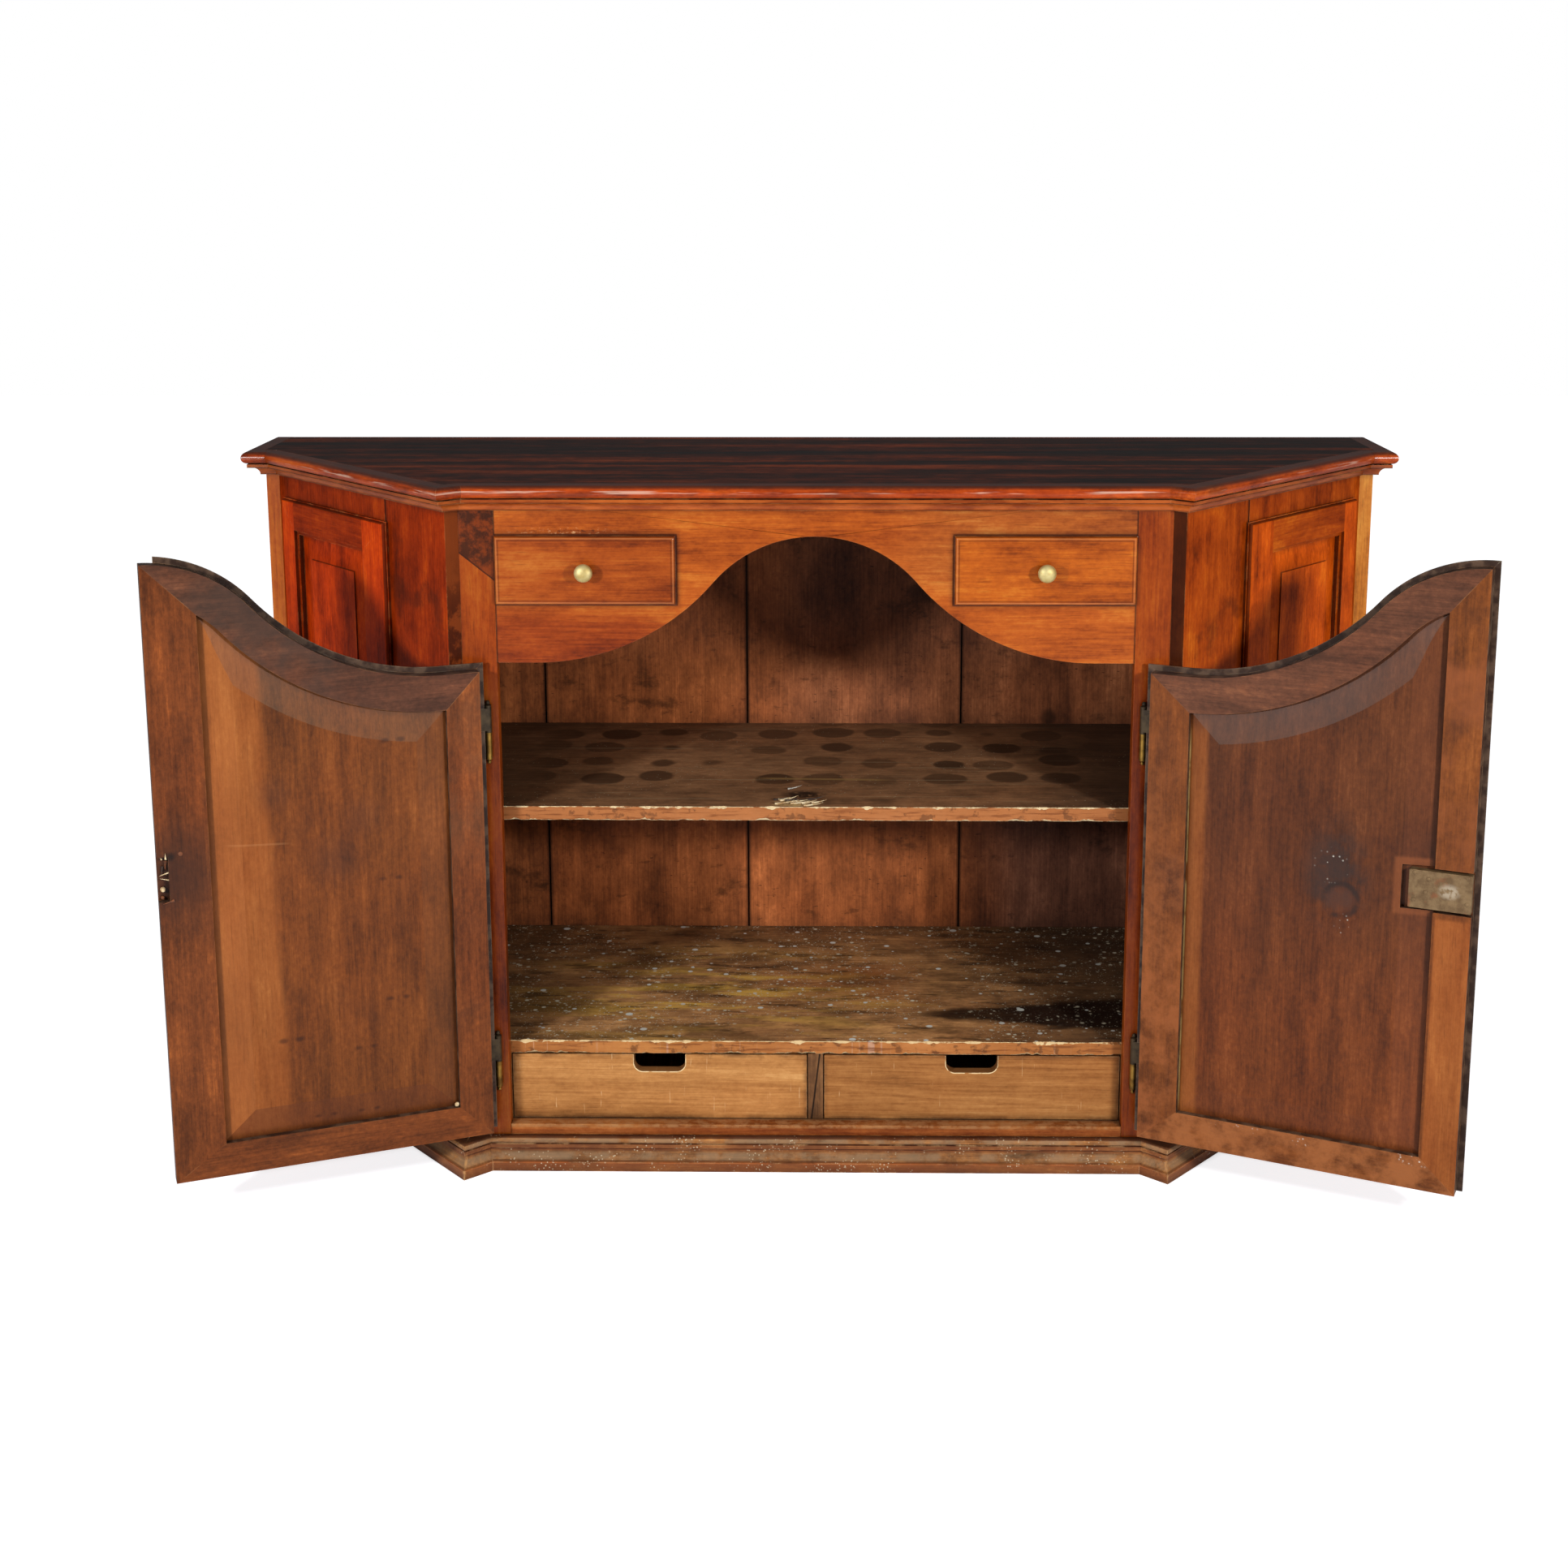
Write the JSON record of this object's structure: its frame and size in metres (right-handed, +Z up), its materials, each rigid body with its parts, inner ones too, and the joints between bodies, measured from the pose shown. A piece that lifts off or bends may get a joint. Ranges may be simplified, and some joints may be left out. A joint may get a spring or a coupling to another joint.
{
  "type": "canted credenza",
  "caption": "Low cupboard with canted sides, a shaped apron over two panelled doors shown open, side doors, a shelf, frieze drawers and low inner drawers, on a moulded plinth",
  "frame": {"origin": "on the floor under the middle of the front frame's face", "axes": "+X to the right along the front, +Y to the back, +Z up"},
  "size_m": [1.7469, 0.7418, 1],
  "materials": {
    "walnut": "glossy old polish",
    "dark_top": "dark glossy polish",
    "plinth": "worn dark polish",
    "inner_boards": "dull and stained",
    "fir": "bare, worn",
    "brass": "aged",
    "iron": "rusty"
  },
  "bodies": {
    "case": {"top_board": "dark_top", "crown_front": "walnut", "crown_left": "walnut", "crown_right": "walnut", "plinth_front": "plinth", "plinth_left": "plinth", "plinth_right": "plinth", "front_stile_left": "walnut", "front_stile_right": "walnut", "apron": "walnut", "front_sill": "walnut", "corner_board_left": "walnut", "corner_board_right": "walnut", "side_frame_left": "walnut", "side_frame_right": "walnut", "end_board_left": "walnut", "end_board_right": "walnut", "back_boards": "inner_boards", "shelf": "inner_boards", "shelf_bearers": "fir", "drawer_deck": "inner_boards", "bottom_board": "inner_boards", "drawer_divider": "inner_boards", "drawer_guides": "fir", "frieze_cradle_left": "fir", "frieze_cradle_right": "fir", "door_hinge_pins": "brass", "side_hinge_pins": "brass"},
    "door_left": {"door_left_hinge_stile": "walnut", "door_left_meeting_stile": "walnut", "door_left_top_rail": "walnut", "door_left_bottom_rail": "walnut", "door_left_panel": "walnut", "door_left_hinges": "brass"},
    "door_right": {"door_right_hinge_stile": "walnut", "door_right_meeting_stile": "walnut", "door_right_top_rail": "walnut", "door_right_bottom_rail": "walnut", "door_right_panel": "walnut", "door_right_hinges": "brass", "lock_case": "iron"},
    "bolt": {"lock_bolt": "iron"},
    "side_door_left": {"side_door_frame_left": "walnut", "side_door_panel_left": "walnut", "side_door_hinges_left": "brass"},
    "frieze_drawer_left": {"frieze_front_left": "walnut", "frieze_box_left": "fir", "frieze_knob_left": "brass"},
    "low_drawer_left": {"low_drawer_front_left": "fir", "low_drawer_box_left": "fir"},
    "side_door_right": {"side_door_frame_right": "walnut", "side_door_panel_right": "walnut", "side_door_hinges_right": "brass"},
    "frieze_drawer_right": {"frieze_front_right": "walnut", "frieze_box_right": "fir", "frieze_knob_right": "brass"},
    "low_drawer_right": {"low_drawer_front_right": "fir", "low_drawer_box_right": "fir"}
  },
  "joints": [
    {"name": "door_left_hinge", "type": "hinge", "parent": "case", "child": "door_left", "pos_m": [-0.454, -0.006, 0.4], "axis": [0, 0, -1], "range_deg": [-158.1, 2]},
    {"name": "door_right_hinge", "type": "hinge", "parent": "case", "child": "door_right", "pos_m": [0.454, -0.006, 0.4], "axis": [0, 0, 1], "range_deg": [-155.8, 3]},
    {"name": "bolt_slide", "type": "slide", "parent": "door_right", "child": "bolt", "axis": [0.9121, -0.4099, 0], "range_m": [0, 0.009]},
    {"name": "side_door_left_hinge", "type": "hinge", "parent": "case", "child": "side_door_left", "pos_m": [-0.82017, 0.34478, 0.4], "axis": [0, 0, -1], "range_deg": [0, 95]},
    {"name": "side_door_right_hinge", "type": "hinge", "parent": "case", "child": "side_door_right", "pos_m": [0.82017, 0.34478, 0.4], "axis": [0, 0, 1], "range_deg": [0, 95]},
    {"name": "frieze_left_slide", "type": "slide", "parent": "case", "child": "frieze_drawer_left", "axis": [0, -1, 0], "range_m": [0, 0.22]},
    {"name": "low_left_slide", "type": "slide", "parent": "case", "child": "low_drawer_left", "axis": [0, -1, 0], "range_m": [0, 0.33]},
    {"name": "frieze_right_slide", "type": "slide", "parent": "case", "child": "frieze_drawer_right", "axis": [0, -1, 0], "range_m": [0, 0.22]},
    {"name": "low_right_slide", "type": "slide", "parent": "case", "child": "low_drawer_right", "axis": [0, -1, 0], "range_m": [0, 0.33]}
  ]
}
